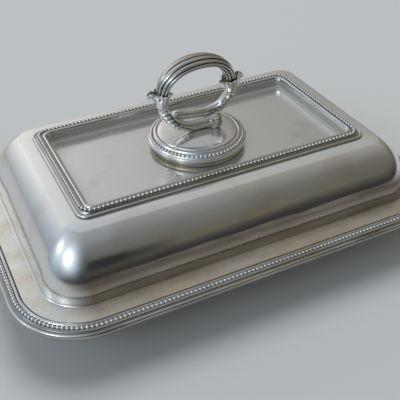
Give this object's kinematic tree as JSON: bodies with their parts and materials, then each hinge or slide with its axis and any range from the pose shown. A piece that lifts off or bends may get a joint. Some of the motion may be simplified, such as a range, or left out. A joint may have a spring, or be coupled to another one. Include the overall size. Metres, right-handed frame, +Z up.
{
  "type": "entree dish",
  "caption": "Oblong covered silver serving dish with pearl-bead borders, a raised cover with a sunken top and a reeded ring handle that turns to unlock.",
  "frame": {"origin": "on the table, under the middle of the dish", "axes": "+X along the dish's length, +Y across to its back, +Z up"},
  "size_m": [0.2962, 0.2034, 0.1296],
  "materials": {
    "polished_silver": "old polish with fine scratches",
    "worn_silver": "worn silver with warm tarnish",
    "border_silver": "polished moulding with dark recesses",
    "bead_silver": "bright pearls with dark gaps",
    "cast_silver": "polished casting with dark recesses",
    "lock_metal": "dull unplated metal"
  },
  "bodies": {
    "dish": {"dish_body": "worn_silver", "dish_rim_mount": "border_silver", "dish_rim_beads": "bead_silver"},
    "cover": {"cover_body": "polished_silver", "cover_top_mount": "border_silver", "cover_top_beads": "bead_silver", "cover_lock_ring": "lock_metal", "cover_lock_stop_1": "lock_metal", "cover_lock_stop_2": "lock_metal"},
    "handle": {"handle_plate": "polished_silver", "handle_plate_beads": "bead_silver", "handle_skirt": "worn_silver", "handle_lock_tube": "lock_metal", "handle_lock_lug_1": "lock_metal", "handle_lock_lug_2": "lock_metal", "handle_arch": "cast_silver", "handle_right_leaf": "cast_silver", "handle_left_leaf": "cast_silver", "handle_front_branch": "cast_silver", "handle_rear_branch": "cast_silver", "handle_end_leaf": "cast_silver", "handle_screw_1": "lock_metal", "handle_screw_2": "lock_metal"}
  },
  "joints": [
    {"name": "cover_lift", "type": "slide", "parent": "dish", "child": "cover", "axis": [0, 0, 1], "range_m": [0, 0.12]},
    {"name": "handle_turn", "type": "hinge", "parent": "cover", "child": "handle", "pos_m": [0, 0, 0.07], "axis": [0, 0, 1], "range_deg": [0, 60]}
  ]
}
